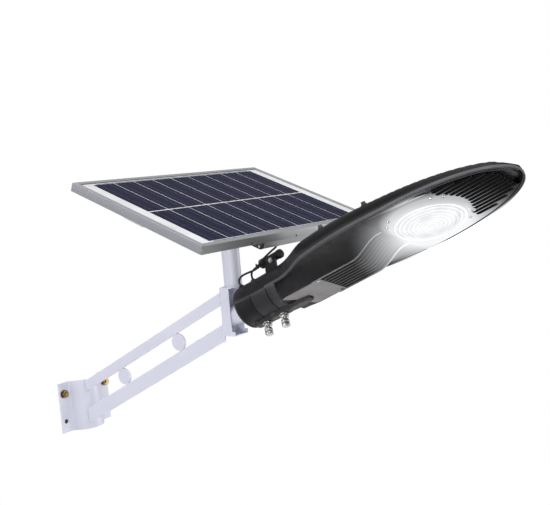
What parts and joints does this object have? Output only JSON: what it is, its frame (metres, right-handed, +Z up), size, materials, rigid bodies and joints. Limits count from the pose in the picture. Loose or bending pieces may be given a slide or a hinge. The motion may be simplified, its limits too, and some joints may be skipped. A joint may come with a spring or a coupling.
{
  "type": "solar street lamp",
  "caption": "Pole-mounted solar street lamp: clamp plate, ladder arm, tilting solar panel with battery box, and a leaf-shaped LED head.",
  "frame": {"origin": "centre of the pole clamp plate's rear plane, where the pole seat opens", "axes": "+X out along the arm to the lamp's tip, +Z up, +Y across; the pole stands behind the origin"},
  "size_m": [0.9507, 0.4788, 0.4866],
  "materials": {
    "white_paint": "semi-gloss powder coat, faint lavender tint",
    "zinc": "yellow zinc plate",
    "stainless": "bright stainless",
    "anodised": "satin anodised extrusion",
    "aluminium": "mill finish",
    "glass": "clear tempered solar glass",
    "lens_glass": "clear lens, lit from behind",
    "cells": "dark blue silicon cells with white grid lines",
    "backsheet": "white film",
    "charcoal": "charcoal powder coat on die-cast aluminium",
    "black_plastic": "black nylon",
    "rubber": "black cable jacket and seals",
    "battery": "blue shrink sleeve",
    "circuit": "green board",
    "reflector": "mirror-bright spun reflector",
    "phosphor": "yellow phosphor, lit"
  },
  "bodies": {
    "arm": {"clamp_plate": "white_paint", "plate_stud_left": "zinc", "plate_stud_right": "zinc", "plate_nut_left": "zinc", "plate_nut_right": "zinc", "arm_upper_bar": "white_paint", "arm_lower_bar": "white_paint", "arm_disc_inner": "white_paint", "arm_disc_outer": "white_paint", "end_bracket": "white_paint", "spigot_tube": "white_paint", "panel_post": "white_paint", "post_fork": "white_paint", "tilt_bolt": "stainless", "tilt_nut": "stainless", "panel_lead": "rubber", "collar_lead": "rubber", "pigtail_lead": "rubber", "lead_tie": "black_plastic", "socket_boot": "rubber", "socket_nut": "black_plastic", "socket_body": "black_plastic", "socket_cap": "rubber"},
    "panel": {"frame_front_rail": "anodised", "frame_rear_rail": "anodised", "frame_left_rail": "anodised", "frame_right_rail": "anodised", "panel_glass": "glass", "cell_sheet": "cells", "backsheet": "backsheet", "back_channel": "aluminium", "tilt_bracket": "white_paint", "battery_box": "anodised", "box_cap_left": "black_plastic", "box_cap_right": "black_plastic", "battery_pack": "battery", "charge_controller": "circuit", "box_gland": "rubber"},
    "head": {"upper_housing": "charcoal", "collar_lower": "charcoal", "reducer_sleeve": "aluminium", "clamp_saddle": "zinc", "clamp_bolt_front": "stainless", "clamp_bolt_rear": "stainless", "clamp_locknut_front": "stainless", "clamp_locknut_rear": "stainless", "driver_cover": "charcoal", "cover_screw_left": "stainless", "cover_screw_right": "stainless", "led_driver": "aluminium", "lens_plate": "charcoal", "heat_spreader": "aluminium", "cob_led": "phosphor", "reflector": "reflector", "lens": "lens_glass", "lens_gasket": "rubber", "lens_bezel": "charcoal", "loop_grommet": "rubber", "pigtail_grommet": "rubber", "lug_bolt": "stainless"}
  },
  "joints": [
    {"name": "panel_tilt", "type": "hinge", "parent": "arm", "child": "panel", "pos_m": [0.4113, 0, 0.3462], "axis": [0, 1, 0], "range_deg": [-22, 5], "deforming": ["panel_lead"]},
    {"name": "head_roll", "type": "hinge", "parent": "arm", "child": "head", "pos_m": [0.442, 0, 0.1985], "axis": [0.9164, 0, 0.4003], "range_deg": [-5, 45], "deforming": ["collar_lead", "pigtail_lead"]}
  ]
}
